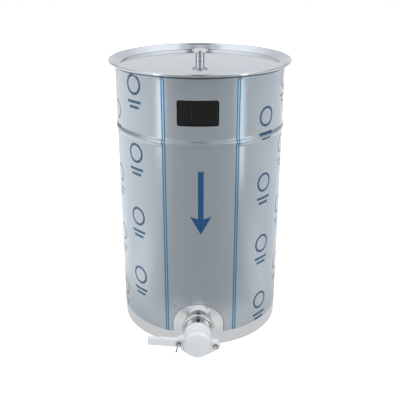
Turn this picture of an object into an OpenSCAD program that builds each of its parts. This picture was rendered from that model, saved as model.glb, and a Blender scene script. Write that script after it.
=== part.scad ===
// Honey settling tank: a stainless barrel with a sight window, a dished lid
// that lifts off, and a swing gate at the foot. Millimetres, +Z up.
// The origin is on the barrel's axis at floor level, and the gate faces -Y.

/* [Barrel] */
// Outside diameter of the barrel
barrel_d = 300; // [260:1:360]
// Height from the floor to the top of the rolled rim
barrel_h = 494; // [440:1:640]
// Thickness of the stainless sheet
sheet_t = 0.8; // [0.6:0.1:1.2]
// Radius of the rolled rim at the mouth
rim_r = 1.8; // [1.4:0.1:3]
// Distance from the rim's top down to the stiffening bead's crest
bead_drop = 108; // [100:1:190]
// Height of the band that the bead takes up
bead_w = 16; // [10:1:24]
// How far the bead stands out
bead_bulge = 2.5; // [1:0.1:4]
// Height of the bottom pan's turned-up edge
pan_h = 6; // [4:0.5:7]
// Leg of the weld on the bottom pan's edge
pan_weld = 1.2; // [0.8:0.1:1.6]
// Width of the barrel's upright weld
seam_w = 5; // [3:0.5:8]
// How far the upright weld stands out
seam_rise = 0.5; // [0.3:0.1:1]

/* [Sight window] */
// Width of the window cut in the barrel
window_w = 68; // [50:1:90]
// Height of the window cut in the barrel
window_h = 42.5; // [30:0.5:50]
// Distance from the rim's top down to the window's centre
window_drop = 56.3; // [44:0.1:62]
// Radius of the window's corners
window_corner = 4; // [2:0.5:8]
// Thickness of the clear pane
pane_t = 3; // [2:0.5:5]
// How far the pane reaches past the cut on each side
pane_lap = 10; // [6:0.5:12]
// Thickness of the sealing frame between pane and barrel
pane_seal_t = 1.5; // [1:0.1:3]
// How far the sealing frame keeps back from the cut
pane_seal_back = 1.5; // [0.5:0.1:3]

/* [Protective film] */
// Thickness of the film
film_t = 0.3; // [0.2:0.05:0.5]
// Height of the film's lower edge
film_z = 25; // [15:0.5:30]
// Radius of the arch cut from the film around the outlet
arch_r = 46.2; // [42:0.1:55]
// Height of the arch's centre
arch_z = 38.8; // [36:0.1:48]
// Width of the strip left bare at the upright weld
film_gap_w = 26; // [14:1:40]

/* [Outlet] */
// Height of the outlet's axis
outlet_z = 36; // [35:0.5:44]
// Outside diameter of the outlet socket
socket_d = 51; // [50:0.5:56]
// Bore of the outlet socket
socket_bore_d = 47; // [46.6:0.1:48]
// How far the socket stands out of the barrel
socket_reach = 21; // [19:0.5:30]
// How far the socket reaches inside the barrel's front line
socket_inset = 6; // [5:0.5:9]
// Leg of the weld around the socket
socket_weld = 4; // [2:0.5:6]
// Thickness of the flat gasket on the socket's end
gasket_t = 2; // [1:0.5:4]

/* [Gate] */
// Diameter of the gate's body
gate_d = 50.6; // [49:0.1:54]
// How far the flange with the ears stands out of the body
flange_rise = 0.3; // [0.2:0.1:2]
// Bore that the honey runs through
gate_bore_d = 40; // [36:0.5:41]
// Length of the gate's body in front of the gasket
gate_len = 23; // [18:0.5:30]
// Length of the shank inside the socket
shank_len = 19; // [14:0.5:22]
// Thickness of the ears on the gate's body
ear_t = 4.5; // [3.5:0.5:8]
// Distance from the outlet's axis to the pivot bolt
pivot_x = 32; // [31:0.5:36]
// Distance from the outlet's axis to the clamp bolt
clamp_x = 33; // [32.5:0.5:38]
// Radius of the ear around the pivot bolt
pivot_ear_r = 8.5; // [8:0.5:11]
// Radius of the ear around the clamp bolt
clamp_ear_r = 11.5; // [11:0.5:13]
// How far the clamp bolt sits outside its ear's centre
clamp_ear_out = 6.5; // [5:0.5:7]
// Thickness of the blade and its lever
blade_t = 6.5; // [5:0.5:9]
// How far the blade's round face stands in front of the lever
blade_face_t = 3.3; // [2.5:0.1:4]
// How far the blade's round face lies inside the flange
blade_face_step = 0.4; // [0.2:0.1:3]
// Radius on the front edge of the blade's round face
blade_round = 4; // [2:0.1:5]
// Distance from the outlet's axis to the lever's tip
lever_x = 88; // [75:1:110]
// Height of the lever where it leaves the blade
lever_root_h = 16; // [13:0.5:17]
// Height of the lever at its tip
lever_tip_h = 14.5; // [11:0.5:15]
// How far the lever's middle lies above the bolts
lever_rise = 0.6; // [0.2:0.1:3]
// Turn of the gate about the outlet's axis, with the lever's side up
gate_roll = 3.5; // [0:0.5:8]
// Radius of the lever's corners
lever_corner = 3.5; // [2:0.5:5]
// Width of the slot that hooks over the clamp bolt
slot_w = 6.4; // [6:0.1:7]
// Outside diameter of the face seal
seal_od = 47; // [46:0.1:47.4]
// Radial width of the face seal
seal_w = 2.6; // [2:0.1:2.8]
// Depth of the groove that holds the face seal
seal_depth = 2; // [1.5:0.1:3]

/* [Bolts] */
// Diameter of the gate's bolts
bolt_d = 5; // [4:0.1:5]
// Width across the flats of the bolts' heads and the nut
hex_w = 8; // [7:0.5:9]
// Height of the bolts' heads
head_h = 3.5; // [3:0.1:5]
// Height of the pivot's lock nut
nut_h = 4; // [3.5:0.1:6]
// How far the bolts' ends stand out of their nuts
bolt_tail = 0.8; // [0.5:0.1:3]
// Outside diameter of the washers
washer_d = 10; // [9:0.1:11]
// Thickness of the washers
washer_t = 0.9; // [0.6:0.1:1.4]

/* [Wing nut] */
// Diameter of the wing nut's foot
wing_foot_d = 9; // [8:0.1:10]
// Diameter of the wing nut's hub at its top
wing_hub_d = 7.4; // [7:0.1:8]
// Height of the wing nut's hub
wing_hub_h = 5; // [4.5:0.1:6]
// Span from wing tip to wing tip
wing_span = 24; // [20:0.5:27]
// Height from the foot to the tops of the wings
wing_h = 12; // [10:0.5:14]
// Thickness of the wings
wing_t = 2; // [1.5:0.1:2.5]
// Lean of the wings from upright
wing_lean = 20; // [0:1:90]

/* [Lid] */
// How far the lid's hem overhangs the barrel
lid_over = 11.8; // [9:0.1:16]
// Distance from the barrel's outside in to the start of the lid's flare
lid_inset = 4; // [3:0.1:6]
// Slope of the lid's flared edge
flare_slope = 38; // [30:1:45]
// Radius of the lid's hem
hem_r = 1.9; // [1.5:0.1:2.5]
// How far the lid's hem is turned down
hem_drop = 1.2; // [0.5:0.1:4]
// Radius of the bend between the lid's disc and its flare
bend_r = 3; // [1:0.5:5]
// Rise of the lid's disc from the bend to the knob's seat
lid_crown = 3.6; // [2:0.1:6]

/* [Knob] */
// Diameter of the knob's cap
knob_d = 29; // [25:0.5:36]
// Thickness of the knob's cap
knob_cap_t = 5; // [3.5:0.1:7]
// How far the cap's top is domed
knob_dome = 0.7; // [0.3:0.1:1.2]
// Diameter of the knob's stem
knob_stem_d = 16; // [13:0.5:19]
// Height of the knob's stem
knob_stem_h = 15; // [13:0.5:24]
// Diameter of the screw that holds the knob
knob_screw_d = 6; // [5:0.5:6]
// How far that screw reaches into the stem
knob_screw_in = 11; // [8:0.5:12]
// Diameter of that screw's head
knob_head_d = 10.5; // [10:0.5:12]
// Height of that screw's head
knob_head_h = 3.3; // [3:0.1:5]
// Outside diameter of the washer under the lid
knob_washer_d = 18; // [14:0.5:22]
// Thickness of the washer under the lid
knob_washer_t = 1.6; // [1:0.1:2.5]

/* [Hidden] */
// Gap between the film and the barrel
film_gap = 0.2;
// Gap between the lid and the rim that it seats on
lid_gap = 0.3;
// Gap around a fixed piece in its hole
fit_gap = 0.1;
// Radial gap of a turning fit
turn_gap = 0.05;
// Gap between flat faces that slide on each other
slide_gap = 0.1;
// Gap between the gate's body and its blade
blade_gap = 0.2;
// Radial gap between the gate's shank and the socket
shank_gap = 0.2;
// How far cuts run past the faces that they cut
overrun = 2;
// How far the weld around the socket is buried before the barrel trims it
weld_bury = 6;
// Edge of the wing's round tip as a share of the wing's height
wing_tip_share = 0.24;
// Height where a wing leaves the foot, as a share of the wing's height
wing_low_share = 0.1;
// Height of a wing's elbow, as a share of the wing's height
wing_elbow_share = 0.46;
// Reach of a wing's elbow, as a share of half the span
wing_elbow_reach_share = 0.7;
// Depth of a nut's dome as a share of its height
nut_dome_share = 0.3;
// Size of the hole in a nut's dome, as a share of its width
nut_mouth_share = 0.74;
// Straight steps in the bead's curve
bead_steps = 24;
// Straight steps in an outline's round stretches
arc_steps = 18;
// Straight steps in the cylinder that trims the socket's weld
trim_steps = 480;
$fn = 96;

barrel_r = barrel_d / 2;
inner_r = barrel_r - sheet_t;
rim_x = inner_r + rim_r;
rim_z = barrel_h - rim_r;
bead_z = barrel_h - bead_drop;
window_z = barrel_h - window_drop;
film_in_r = barrel_r + film_gap;
film_top_z = rim_z - rim_r - film_gap;
pane_out_r = inner_r - pane_seal_t - fit_gap;
pane_in_r = pane_out_r - pane_t;

gate_r = gate_d / 2;
flange_r = gate_r + flange_rise;
shank_r = socket_bore_d / 2 - shank_gap;
// Distances out of the barrel's front line, along the outlet's axis
gate_back = socket_reach + gasket_t;
gate_front = gate_back + gate_len;
blade_back = gate_front + blade_gap;
lever_front = blade_back + blade_t;
washer_back = lever_front + slide_gap;
washer_front = washer_back + washer_t;
wing_back = washer_front + slide_gap;
bolt_r = bolt_d / 2;
bolt_hole_r = bolt_r + turn_gap;

flare_x = barrel_r - lid_inset;
lid_r = barrel_r + lid_over;
// Lowest height of the lid's upper face, from the rim that the flare seats on
lid_z = rim_z - (rim_x - flare_x) * tan(flare_slope) + (rim_r + lid_gap + sheet_t) / cos(flare_slope);
// Height and radius of the flat seat in the middle of the lid's disc
knob_z = lid_z + lid_crown;
knob_seat_r = max(knob_stem_d, knob_washer_d) / 2 + fit_gap;
knob_hole_r = knob_screw_d / 2 + fit_gap;

// Points along an arc, in degrees
function arc(x, y, r, from, to, steps = arc_steps) =
    [for (i = [0 : steps]) let (a = from + (to - from) * i / steps) [x + r * cos(a), y + r * sin(a)]];

// Points of a stretch without its last one, where the next stretch starts
function open_end(points) = [for (i = [0 : len(points) - 2]) points[i]];

function reversed(points) = [for (i = [len(points) - 1 : -1 : 0]) points[i]];

// Radius and height along the barrel's wall, offset from its outer face
function wall(offset, low, high) = concat(
    [[barrel_r + offset, low]],
    [for (i = [0 : bead_steps]) let (u = i / bead_steps - 1 / 2)
        [barrel_r + offset + bead_bulge * (1 + cos(360 * u)) / 2, bead_z + bead_w * u]],
    [[barrel_r + offset, high]]
);

// A band that follows the wall, between two offsets
module wall_band(inside, outside, low, high) {
    polygon(concat(wall(outside, low, high), reversed(wall(inside, low, high))));
}

// Children drawn flat face the front, with the outlet's axis coming out of the barrel
module at_outlet(out = 0) {
    translate([0, -barrel_r - out, outlet_z])
        rotate([90, 0, 0])
            children();
}

// The same, turned about that axis as the gate sits on the socket
module at_gate(out = 0) {
    at_outlet(out)
        rotate([0, 0, -gate_roll])
            children();
}

module tube(outer_r, bore_r, length) {
    difference() {
        cylinder(r = outer_r, h = length);
        translate([0, 0, -overrun])
            cylinder(r = bore_r, h = length + 2 * overrun);
    }
}

module hexagon(across, height) {
    cylinder(r = across / 2 / cos(30), h = height, $fn = 6);
}

module rounded_rectangle(width, height, corner) {
    square([width - 2 * corner, height], center = true);
    square([width, height - 2 * corner], center = true);
    for (x = [-1, 1], y = [-1, 1])
        translate([x * (width / 2 - corner), y * (height / 2 - corner)])
            circle(r = corner);
}

// A bar through the front wall with the window's shape, grown all round
module window_bar(grow) {
    translate([0, -barrel_r / 2, window_z])
        rotate([90, 0, 0])
            linear_extrude(height = barrel_r)
                rounded_rectangle(window_w + 2 * grow, window_h + 2 * grow, window_corner + grow);
}

// The outline that the gate's ears and its blade share: level above, tangents below
module ear_outline() {
    clamp_ear_x = clamp_x - clamp_ear_out;
    pivot_side = acos((flange_r - pivot_ear_r) / pivot_x);
    clamp_side = 180 - acos((flange_r - clamp_ear_r) / clamp_ear_x);
    polygon(concat(
        arc(pivot_x, 0, pivot_ear_r, -pivot_side, 90),
        arc(0, 0, flange_r, asin(pivot_ear_r / flange_r), 180 - asin(clamp_ear_r / flange_r)),
        arc(-clamp_ear_x, 0, clamp_ear_r, 90, 360 - clamp_side),
        arc(0, 0, flange_r, 360 - clamp_side, 360 - pivot_side)
    ));
}

module barrel() {
    meet = acos((sheet_t - rim_r) / rim_r);
    outer = wall(0, 0, rim_z - rim_r * sin(meet));
    roll = arc(rim_x, rim_z, rim_r, 360 - meet, 540);
    inner = reversed(wall(-sheet_t, 0, rim_z));
    color("lightsteelblue")
        difference() {
            rotate_extrude()
                polygon(concat(outer, roll, inner));
            window_bar(0);
            at_outlet(-socket_inset - overrun)
                cylinder(r = socket_d / 2 + fit_gap, h = socket_inset + 2 * overrun);
        }
}

module barrel_seam_weld() {
    half_angle = asin(seam_w / 2 / barrel_r);
    color("gainsboro")
        rotate([0, 0, 90 - half_angle])
            rotate_extrude(angle = 2 * half_angle)
                wall_band(fit_gap, seam_rise, pan_h, film_top_z);
}

module bottom_pan() {
    rim = inner_r - fit_gap;
    color("lightgray")
        rotate_extrude()
            polygon([
                [0, 0],
                [rim, 0],
                [rim, pan_h],
                [rim - sheet_t, pan_h],
                [rim - sheet_t, sheet_t],
                [0, sheet_t]
            ]);
}

module bottom_weld() {
    face = inner_r - fit_gap;
    foot = pan_h + fit_gap;
    color("gainsboro")
        rotate_extrude()
            polygon([[face, foot], [face, foot + pan_weld], [face - pan_weld, foot]]);
}

module protective_film() {
    color("lightblue")
        difference() {
            rotate_extrude()
                wall_band(film_gap, film_gap + film_t, film_z, film_top_z);
            window_bar(0);
            translate([0, -barrel_r / 2, arch_z])
                rotate([90, 0, 0])
                    linear_extrude(height = barrel_r) {
                        circle(r = arch_r);
                        translate([-arch_r, film_z - arch_z - overrun])
                            square([2 * arch_r, arch_z - film_z + overrun]);
                    }
            translate([-film_gap_w / 2, 0, film_z - overrun])
                cube([film_gap_w, barrel_d, film_top_z - film_z + 2 * overrun]);
        }
}

module window_pane() {
    color([0.10, 0.11, 0.12])
        intersection() {
            translate([0, 0, window_z - window_h])
                tube(pane_out_r, pane_in_r, 2 * window_h);
            window_bar(pane_lap);
        }
}

module window_seal() {
    color("black")
        difference() {
            intersection() {
                translate([0, 0, window_z - window_h])
                    tube(inner_r - fit_gap / 2, pane_out_r + fit_gap / 2, 2 * window_h);
                window_bar(pane_lap);
            }
            window_bar(pane_seal_back);
        }
}

module outlet_socket() {
    color("silver")
        at_outlet(-socket_inset)
            tube(socket_d / 2, socket_bore_d / 2, socket_inset + socket_reach);
}

module socket_weld_bead() {
    foot = socket_d / 2 + fit_gap;
    color("gainsboro")
        difference() {
            at_outlet()
                rotate_extrude()
                    polygon([
                        [foot, -weld_bury],
                        [foot + socket_weld + weld_bury, -weld_bury],
                        [foot, socket_weld]
                    ]);
            translate([0, 0, -barrel_h])
                cylinder(r = barrel_r + fit_gap, h = 2 * barrel_h, $fn = trim_steps);
        }
}

module outlet_gasket() {
    color("whitesmoke")
        at_outlet(socket_reach)
            tube(gate_r - fit_gap, shank_r + fit_gap, gasket_t);
}

module gate_body() {
    color("white")
        at_gate()
            difference() {
                union() {
                    translate([0, 0, gate_back - shank_len])
                        cylinder(r = shank_r, h = shank_len + gate_len);
                    translate([0, 0, gate_back])
                        cylinder(r = gate_r, h = gate_len);
                    translate([0, 0, gate_front - ear_t])
                        linear_extrude(height = ear_t)
                            ear_outline();
                }
                translate([0, 0, gate_back - shank_len - overrun])
                    cylinder(r = gate_bore_d / 2, h = shank_len + gate_len + 2 * overrun);
                translate([0, 0, gate_front - seal_depth])
                    tube(seal_od / 2 + fit_gap, seal_od / 2 - seal_w - fit_gap, seal_depth + overrun);
                for (x = [pivot_x, -clamp_x])
                    translate([x, 0, gate_front - ear_t - overrun])
                        cylinder(r = bolt_hole_r, h = ear_t + 2 * overrun);
            }
}

module face_seal() {
    color("dimgray")
        at_outlet(gate_front - seal_depth)
            tube(seal_od / 2, seal_od / 2 - seal_w, seal_depth + blade_gap / 2);
}

// The lever from the clamp ear to its tip, with a rounded end
module lever_outline() {
    root = clamp_x - clamp_ear_out;
    tip = lever_x - lever_corner;
    edge = lever_tip_h / 2 - lever_corner;
    translate([0, lever_rise])
        polygon(concat(
            [[-root, lever_root_h / 2]],
            arc(-tip, edge, lever_corner, 90, 180),
            arc(-tip, -edge, lever_corner, 180, 270),
            [[-root, -lever_root_h / 2]]
        ));
}

// The open slot that the clamp bolt leaves by, along its path about the pivot
module slot_outline() {
    swing_r = pivot_x + clamp_x;
    sweep = asin(flange_r / swing_r);
    polygon(concat(
        arc(-clamp_x, 0, slot_w / 2, 0, 180),
        arc(pivot_x, 0, swing_r + slot_w / 2, 180, 180 + sweep),
        arc(pivot_x, 0, swing_r - slot_w / 2, 180 + sweep, 180)
    ));
}

module gate_blade() {
    face_r = min(flange_r - blade_face_step, pivot_x - washer_d / 2 - fit_gap);
    face_top = blade_t + blade_face_t;
    color("white")
        at_gate(blade_back)
            difference() {
                union() {
                    linear_extrude(height = blade_t)
                        difference() {
                            union() {
                                ear_outline();
                                lever_outline();
                            }
                            slot_outline();
                        }
                    rotate_extrude()
                        polygon(concat(
                            [[0, blade_t / 2], [face_r, blade_t / 2]],
                            arc(face_r - blade_round, face_top - blade_round, blade_round, 0, 90),
                            [[0, face_top]]
                        ));
                }
                translate([pivot_x, 0, -overrun])
                    cylinder(r = bolt_hole_r, h = blade_t + 2 * overrun);
            }
}

// A hexagon-headed bolt from behind an ear, ending in front at the given place
module ear_bolt(end) {
    seat = gate_front - ear_t;
    color("darkgray") {
        translate([0, 0, seat - head_h])
            hexagon(hex_w, head_h);
        translate([0, 0, seat - head_h])
            cylinder(r = bolt_r, h = end - seat + head_h);
    }
}

module pivot_bolt() {
    at_gate()
        translate([pivot_x, 0, 0])
            ear_bolt(washer_front + nut_h + bolt_tail);
}

module pivot_washer() {
    color("silver")
        at_gate(washer_back)
            translate([pivot_x, 0, 0])
                tube(washer_d / 2, bolt_hole_r, washer_t);
}

// A lock nut: hexagon below and a round collar above
module pivot_nut() {
    dome_h = nut_h * nut_dome_share;
    color("darkgray")
        at_gate(washer_front)
            translate([pivot_x, 0, 0])
                difference() {
                    union() {
                        hexagon(hex_w, nut_h - dome_h);
                        cylinder(r = hex_w / 2, h = nut_h - dome_h / 2);
                        cylinder(r = hex_w * nut_mouth_share / 2, h = nut_h);
                    }
                    translate([0, 0, -overrun])
                        cylinder(r = bolt_hole_r, h = nut_h + 2 * overrun);
                }
}

module clamp_bolt() {
    at_gate()
        translate([-clamp_x, 0, 0])
            ear_bolt(wing_back + wing_hub_h + bolt_tail);
}

module clamp_washer() {
    color("silver")
        at_gate(washer_back)
            translate([-clamp_x, 0, 0])
                tube(washer_d / 2, bolt_hole_r, washer_t);
}

module wing_outline() {
    tip_r = wing_h * wing_tip_share;
    reach = wing_span / 2;
    polygon([
        [0, wing_h * wing_low_share],
        [wing_foot_d / 2, wing_h * wing_low_share],
        [reach * wing_elbow_reach_share, wing_h * wing_elbow_share],
        [reach, wing_h - tip_r],
        [reach - tip_r, wing_h],
        [wing_hub_d / 2, wing_hub_h],
        [0, wing_hub_h]
    ]);
    translate([reach - tip_r, wing_h - tip_r])
        circle(r = tip_r);
}

module wing_nut() {
    color("silver")
        at_gate(wing_back)
            translate([-clamp_x, 0, 0])
                rotate([0, 0, 90 - wing_lean])
                    difference() {
                        union() {
                            cylinder(r1 = wing_foot_d / 2, r2 = wing_hub_d / 2, h = wing_hub_h);
                            for (turn = [0, 180])
                                rotate([90, 0, turn])
                                    translate([0, 0, -wing_t / 2])
                                        linear_extrude(height = wing_t)
                                            wing_outline();
                        }
                        translate([0, 0, -overrun])
                            cylinder(r = bolt_hole_r, h = wing_h + 2 * overrun);
                    }
}

module lid() {
    bend_x = flare_x - bend_r * tan(flare_slope / 2);
    // Length of the flare's upper face, from the bend's corner to the hem
    flare_l = (lid_r - hem_r - flare_x - hem_r * sin(flare_slope)) / cos(flare_slope);
    hem_x = lid_r - hem_r;
    hem_z = lid_z + flare_l * sin(flare_slope) - hem_r * cos(flare_slope);
    // Height where the flare's under face meets the hem's inner side
    meet_z = hem_z + hem_r * cos(flare_slope) - (hem_r - hem_r * sin(flare_slope)) * tan(flare_slope)
        - sheet_t / cos(flare_slope);
    // The disc's crown runs smoothly from the flat seat into the bend
    crown_run = bend_x - knob_seat_r;
    crown_turn = 2 * atan(lid_crown / crown_run);
    crown_r = crown_run / sin(crown_turn) - bend_r;
    color("lightgray")
        rotate_extrude()
            polygon(concat(
                [[knob_hole_r, knob_z - sheet_t]],
                open_end(arc(knob_seat_r, knob_z - crown_r, crown_r - sheet_t, 90, 90 - crown_turn)),
                arc(bend_x, lid_z + bend_r, bend_r + sheet_t, -90 - crown_turn, flare_slope - 90),
                [[hem_x - hem_r, meet_z]],
                arc(hem_x, hem_z - hem_drop, hem_r, 180, 360),
                arc(hem_x, hem_z, hem_r, 0, 90 + flare_slope),
                open_end(arc(bend_x, lid_z + bend_r, bend_r, flare_slope - 90, -90 - crown_turn)),
                arc(knob_seat_r, knob_z - crown_r, crown_r, 90 - crown_turn, 90),
                [[knob_hole_r, knob_z]]
            ));
}

module lid_knob() {
    edge_r = (knob_cap_t - knob_dome) / 2;
    cap_r = knob_d / 2;
    color("silver")
        translate([0, 0, knob_z])
            difference() {
                union() {
                    cylinder(r = knob_stem_d / 2, h = knob_stem_h + edge_r);
                    translate([0, 0, knob_stem_h])
                        rotate_extrude()
                            polygon(concat(
                                [[0, 0]],
                                arc(cap_r - edge_r, edge_r, edge_r, -90, 90),
                                [[knob_stem_d / 2, knob_cap_t - knob_dome / 2], [0, knob_cap_t]]
                            ));
                }
                translate([0, 0, -overrun])
                    cylinder(r = knob_hole_r, h = knob_screw_in + 2 * overrun);
            }
}

module knob_washer() {
    color("silver")
        translate([0, 0, knob_z - sheet_t - knob_washer_t])
            tube(knob_washer_d / 2, knob_hole_r, knob_washer_t);
}

module knob_screw() {
    under = knob_z - sheet_t - knob_washer_t;
    color("darkgray") {
        translate([0, 0, under - knob_head_h])
            cylinder(r = knob_head_d / 2, h = knob_head_h);
        translate([0, 0, under - knob_head_h])
            cylinder(r = knob_screw_d / 2, h = knob_head_h + knob_washer_t + sheet_t + knob_screw_in);
    }
}

barrel();
barrel_seam_weld();
bottom_pan();
bottom_weld();
protective_film();
window_pane();
window_seal();
outlet_socket();
socket_weld_bead();
outlet_gasket();
gate_body();
face_seal();
gate_blade();
pivot_bolt();
pivot_washer();
pivot_nut();
clamp_bolt();
clamp_washer();
wing_nut();
lid();
lid_knob();
knob_washer();
knob_screw();
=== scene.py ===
from math import acos, asin, atan, atan2, cos, degrees, pi, radians, sin, sqrt, tan, tau

import bpy
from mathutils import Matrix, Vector


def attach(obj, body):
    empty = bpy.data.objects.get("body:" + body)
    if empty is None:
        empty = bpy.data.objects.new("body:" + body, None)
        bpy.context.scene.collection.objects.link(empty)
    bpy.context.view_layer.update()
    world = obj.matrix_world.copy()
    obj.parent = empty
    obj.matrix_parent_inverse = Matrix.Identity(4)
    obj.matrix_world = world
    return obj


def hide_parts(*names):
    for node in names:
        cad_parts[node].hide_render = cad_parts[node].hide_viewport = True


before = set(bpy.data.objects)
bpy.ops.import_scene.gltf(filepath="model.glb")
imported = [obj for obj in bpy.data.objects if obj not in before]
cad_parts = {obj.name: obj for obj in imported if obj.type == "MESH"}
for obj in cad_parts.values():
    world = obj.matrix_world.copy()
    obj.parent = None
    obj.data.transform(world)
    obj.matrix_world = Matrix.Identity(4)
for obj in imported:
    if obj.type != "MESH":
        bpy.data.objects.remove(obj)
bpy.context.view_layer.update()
scene = bpy.context.scene
scene.view_settings.view_transform = "Standard"
mm = 0.001
mergeGap = 0.0005 * mm
print("frame loaded:", len(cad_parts), "nodes")


# Small tools for modelling by hand, in millimetres

def setMode(mode):
    bpy.ops.object.mode_set(mode=mode)


def clearSelection():
    if bpy.context.object and bpy.context.object.mode != "OBJECT":
        setMode("OBJECT")
    bpy.ops.object.select_all(action="DESELECT")


def pick(piece):
    clearSelection()
    piece.select_set(True)
    bpy.context.view_layer.objects.active = piece


def named(name):
    piece = bpy.context.object
    piece.name = name
    piece.data.name = name
    return piece


def arcPoints(x, y, r, start, end, steps):
    angles = [radians(start + (end - start) * i / steps) for i in range(steps + 1)]
    return [(x + r * cos(a), y + r * sin(a)) for a in angles]


def metres(place):
    return [c * mm for c in place]


# moves an object's place, turn and size into its mesh
def applyPlace():
    bpy.ops.object.transform_apply(location=True, rotation=True, scale=True)


def mergeDoubles():
    bpy.ops.mesh.select_all(action="SELECT")
    bpy.ops.mesh.remove_doubles(threshold=mergeGap)
    bpy.ops.mesh.select_all(action="SELECT")


# an outline drawn from one loose vertex, point by point and back to its start
def drawOutline(name, places):
    clearSelection()
    bpy.ops.mesh.primitive_plane_add(size=2 * mm, location=metres(places[0]))
    applyPlace()
    setMode("EDIT")
    bpy.ops.mesh.select_all(action="SELECT")
    bpy.ops.mesh.merge(type="CENTER")
    for last, following in zip(places, places[1:] + places[:1]):
        step = metres(b - a for a, b in zip(last, following))
        bpy.ops.mesh.extrude_vertices_move(TRANSFORM_OT_translate={"value": step})
    mergeDoubles()
    return named(name)


# the last step in edit mode
def faceOutwards():
    bpy.ops.mesh.select_all(action="SELECT")
    bpy.ops.mesh.normals_make_consistent(inside=False)
    setMode("OBJECT")


def turn(name, places, centre, axis, steps):
    piece = drawOutline(name, places)
    bpy.ops.mesh.spin(steps=steps, angle=tau, center=metres(centre), axis=axis)
    mergeDoubles()
    faceOutwards()
    return piece


# outline points are (radius, height)
def turnUpright(name, outline, steps=256):
    return turn(name, [(r, 0, h) for r, h in outline], (0, 0, 0), (0, 0, 1), steps)


outlet = {"wall": 150, "z": 36}


# places in front of the barrel: across, up from the outlet's axis, out of the wall
def outPlace(x, y, out):
    return (x, -outlet["wall"] - out, outlet["z"] + y)


# outline points are (radius, way out of the wall), about a line through x
def turnOutward(name, outline, x=0, steps=96):
    places = [outPlace(x + r, 0, out) for r, out in outline]
    return turn(name, places, outPlace(x, 0, 0), (0, 1, 0), steps)


# a flat outline, filled and pushed out to its thickness
def slab(name, places, push):
    piece = drawOutline(name, places)
    bpy.ops.mesh.edge_face_add()
    bpy.ops.mesh.extrude_region_move(TRANSFORM_OT_translate={"value": metres(push)})
    faceOutwards()
    return piece


# a slab that faces the front
def plate(name, outline, back, front):
    return slab(name, [outPlace(x, y, back) for x, y in outline], (0, back - front, 0))


def applyModifier(piece, kind, **settings):
    pick(piece)
    modifier = piece.modifiers.new(kind.title(), kind)
    for key, value in settings.items():
        setattr(modifier, key, value)
    bpy.ops.object.modifier_apply(modifier=modifier.name)


def combine(piece, other, operation):
    applyModifier(piece, "BOOLEAN", operation=operation, object=other, solver="EXACT")
    bpy.data.objects.remove(other)


def softenEdges(piece, width, segments=3, angle=40):
    applyModifier(piece, "BEVEL", width=width * mm, segments=segments, limit_method="ANGLE",
                  angle_limit=radians(angle), use_clamp_overlap=True)


def smooth(piece, angle):
    pick(piece)
    bpy.ops.object.shade_smooth_by_angle(angle=radians(angle))


def rod(r, back, front, x=0, vertices=64):
    clearSelection()
    middle = outPlace(x, 0, (back + front) / 2)
    bpy.ops.mesh.primitive_cylinder_add(vertices=vertices, radius=r * mm, depth=(front - back) * mm,
                                        location=metres(middle), rotation=(pi / 2, 0, 0))
    applyPlace()
    return bpy.context.object


# turns a piece about a level line through x, anticlockwise as seen from the front
def spinPiece(piece, x, angle):
    cosine, sine = cos(angle), sin(angle)
    for vertex in piece.data.vertices:
        across, up = vertex.co.x - x * mm, vertex.co.z - outlet["z"] * mm
        vertex.co.x = x * mm + across * cosine - up * sine
        vertex.co.z = outlet["z"] * mm + across * sine + up * cosine


def block(low, high):
    clearSelection()
    middle = [(a + b) / 2 for a, b in zip(low, high)]
    sides = [b - a for a, b in zip(low, high)]
    bpy.ops.mesh.primitive_cube_add(size=1, location=metres(middle), scale=metres(sides))
    applyPlace()
    return bpy.context.object


# Tools for materials

def shaderOf(name):
    material = bpy.data.materials.new(name)
    material.use_nodes = True
    tree = material.node_tree
    return material, tree, tree.nodes["Principled BSDF"]


# sets a node's inputs, by name or number, to values or links them
def feed(tree, node, inputs):
    for key, value in inputs.items():
        if isinstance(value, bpy.types.NodeSocket):
            tree.links.new(value, node.inputs[key])
        else:
            node.inputs[key].default_value = value


# makes a node and gives its outputs
def newNode(tree, kind, inputs, **settings):
    node = tree.nodes.new("ShaderNode" + kind)
    for key, value in settings.items():
        setattr(node, key, value)
    feed(tree, node, inputs)
    return node.outputs


def math2(tree, operation, a, b=0.0, c=0.0):
    return newNode(tree, "Math", {0: a, 1: b, 2: c}, operation=operation)[0]


def product(tree, first, *others):
    for other in others:
        first = math2(tree, "MULTIPLY", first, other)
    return first


def hypotenuse(tree, a, b):
    return math2(tree, "SQRT", math2(tree, "ADD", product(tree, a, a), product(tree, b, b)))


# how far a value lies from another
def distance(tree, value, middle):
    return math2(tree, "ABSOLUTE", math2(tree, "SUBTRACT", value, middle))


# goes from low to high as the mask goes from 0 to 1
def over(tree, low, high, mask):
    return math2(tree, "MULTIPLY_ADD", mask, math2(tree, "SUBTRACT", high, low), low)


def ranged(tree, value, fromLow, fromHigh, toLow, toHigh, kind="SMOOTHSTEP"):
    inputs = {"Value": value, "From Min": fromLow, "From Max": fromHigh, "To Min": toLow, "To Max": toHigh}
    return newNode(tree, "MapRange", inputs, interpolation_type=kind)["Result"]


# 0 up to the start, 1 from the end on; with start above end it runs the other way
def fade(tree, value, start, end):
    return ranged(tree, value, start, end, 0.0, 1.0)


# a noise texture's values crowd about the middle, so its range is stretched
def spread(tree, value, toLow, toHigh):
    return ranged(tree, value, 0.3, 0.7, toLow, toHigh)


def coordinate(tree, kind="Object"):
    return newNode(tree, "TexCoord", {})[kind]


def separated(tree, source):
    return newNode(tree, "SeparateXYZ", {0: source})


def objectPlace(tree, scale=(1, 1, 1)):
    return newNode(tree, "Mapping", {"Vector": coordinate(tree), "Scale": scale})["Vector"]


def noise(tree, vector, scale, detail=3.0, rough=0.5):
    inputs = {"Vector": vector, "Scale": scale, "Detail": detail, "Roughness": rough}
    return newNode(tree, "TexNoise", inputs)["Fac"]


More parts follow.
